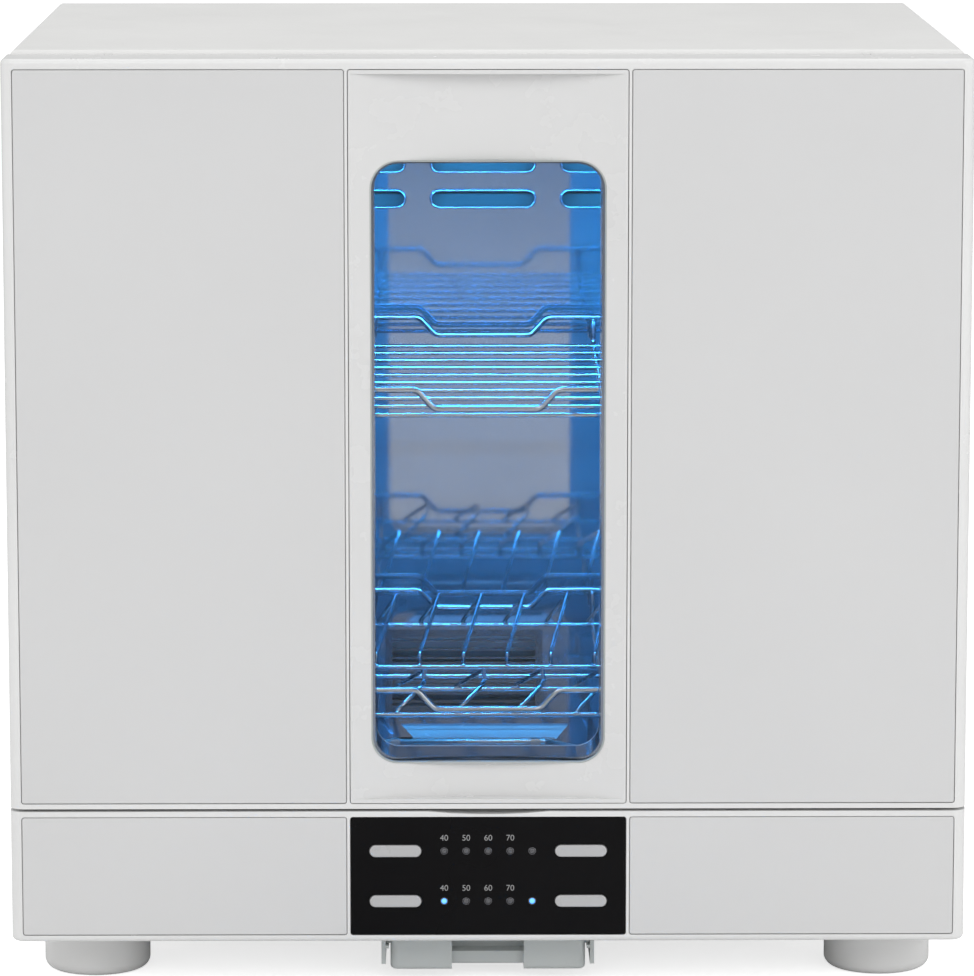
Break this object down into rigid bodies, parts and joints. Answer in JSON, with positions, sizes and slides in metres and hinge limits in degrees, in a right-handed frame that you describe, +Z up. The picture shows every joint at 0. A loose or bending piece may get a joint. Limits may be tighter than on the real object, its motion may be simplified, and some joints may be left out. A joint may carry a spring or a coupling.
{
  "type": "dish sterilizer cabinet",
  "caption": "Countertop dish sterilizer cabinet with a lift-up windowed door, two wire racks, push buttons and a pull-out drip tray.",
  "frame": {"origin": "under the middle of the cabinet, level with the soles of its feet", "axes": "+X to the right as seen from the front, +Y from the door to the back, +Z up"},
  "size_m": [0.484, 0.392, 0.4757],
  "materials": {
    "white_abs": "gloss white moulding",
    "pale_insert": "satin pale grey sheet",
    "white_steel": "white powder coat",
    "black_panel": "gloss black",
    "button_cap": "silver white",
    "stainless": "mirror-like stainless sheet",
    "steel_bracket": "plain steel",
    "wire": "chromed wire",
    "window": "lightly tinted clear window",
    "lamp_glass": "clear quartz tube",
    "tray_plastic": "pale grey-green, half clear",
    "seal": "pale grey silicone",
    "board": "green circuit board",
    "inner_plastic": "grey moulding",
    "aluminium": "plain",
    "dark_metal": "dark enamel",
    "magnet": "ferrite",
    "lamp_lens": "clear grey lens"
  },
  "bodies": {
    "cabinet": {"base_housing": "white_abs", "bottom_plate": "white_steel", "foot_front_left": "white_abs", "foot_front_right": "white_abs", "foot_rear_left": "white_abs", "foot_rear_right": "white_abs", "base_insert_left": "pale_insert", "base_insert_right": "pale_insert", "control_panel": "black_panel", "control_board": "board", "tact_switches": "inner_plastic", "indicator_lamps": "lamp_lens", "tray_rails": "tray_plastic", "front_frame": "white_abs", "side_panel_left": "white_steel", "side_panel_right": "white_steel", "rear_cover": "white_steel", "top_cover": "white_abs", "hinge_brackets": "steel_bracket", "catch_plates": "steel_bracket", "liner_back": "stainless", "liner_left": "stainless", "liner_right": "stainless", "liner_ceiling": "stainless", "liner_floor": "stainless", "outlet_grille": "dark_metal", "rack_supports_upper": "stainless", "rack_supports_lower": "stainless", "uv_lamp": "lamp_glass", "lamp_caps": "aluminium", "lamp_holders": "inner_plastic", "lamp_reflector": "aluminium", "lamp_ballast": "dark_metal", "blower_housing": "inner_plastic", "blower_motor": "dark_metal", "heater_duct": "aluminium", "heater_element": "aluminium", "drain_tube": "inner_plastic", "temperature_sensor": "steel_bracket", "cord_gland": "inner_plastic"},
    "door": {"door_frame": "white_abs", "hinge_pins": "steel_bracket", "door_insert_left": "pale_insert", "door_insert_right": "pale_insert", "door_center_panel": "white_abs", "door_window": "window", "window_surround": "white_abs", "door_inner_panel": "white_abs", "door_gasket": "seal", "door_magnets": "magnet"},
    "drip_tray": {"drip_tray": "tray_plastic"},
    "upper_rack": {"upper_rack": "wire"},
    "lower_rack": {"lower_rack": "wire", "plate_dividers": "wire", "bowl_loops": "wire"},
    "blower_wheel": {"blower_wheel": "inner_plastic"},
    "button_lower_left": {"button_lower_left": "button_cap"},
    "button_upper_left": {"button_upper_left": "button_cap"},
    "button_lower_right": {"button_lower_right": "button_cap"},
    "button_upper_right": {"button_upper_right": "button_cap"}
  },
  "joints": [
    {"name": "door_hinge", "type": "hinge", "parent": "cabinet", "child": "door", "pos_m": [0, -0.162, 0.4673], "axis": [-1, 0, 0], "range_deg": [0, 95]},
    {"name": "tray_slide", "type": "slide", "parent": "cabinet", "child": "drip_tray", "axis": [0, -1, 0], "range_m": [0, 0.11]},
    {"name": "upper_rack_lift", "type": "slide", "parent": "cabinet", "child": "upper_rack", "axis": [0, 0, 1], "range_m": [0, 0.012]},
    {"name": "lower_rack_lift", "type": "slide", "parent": "cabinet", "child": "lower_rack", "axis": [0, 0, 1], "range_m": [0, 0.012]},
    {"name": "blower_spin", "type": "hinge", "parent": "cabinet", "child": "blower_wheel", "pos_m": [-0.011, 0.067, 0.05], "axis": [0, 0, 1], "continuous": true},
    {"name": "button_lower_left_press", "type": "slide", "parent": "cabinet", "child": "button_lower_left", "axis": [0, 1, 0], "range_m": [0, 0.0012], "stiffness_N_per_m": 1200, "springref_m": -0.0002},
    {"name": "button_upper_left_press", "type": "slide", "parent": "cabinet", "child": "button_upper_left", "axis": [0, 1, 0], "range_m": [0, 0.0012], "stiffness_N_per_m": 1200, "springref_m": -0.0002},
    {"name": "button_lower_right_press", "type": "slide", "parent": "cabinet", "child": "button_lower_right", "axis": [0, 1, 0], "range_m": [0, 0.0012], "stiffness_N_per_m": 1200, "springref_m": -0.0002},
    {"name": "button_upper_right_press", "type": "slide", "parent": "cabinet", "child": "button_upper_right", "axis": [0, 1, 0], "range_m": [0, 0.0012], "stiffness_N_per_m": 1200, "springref_m": -0.0002}
  ]
}
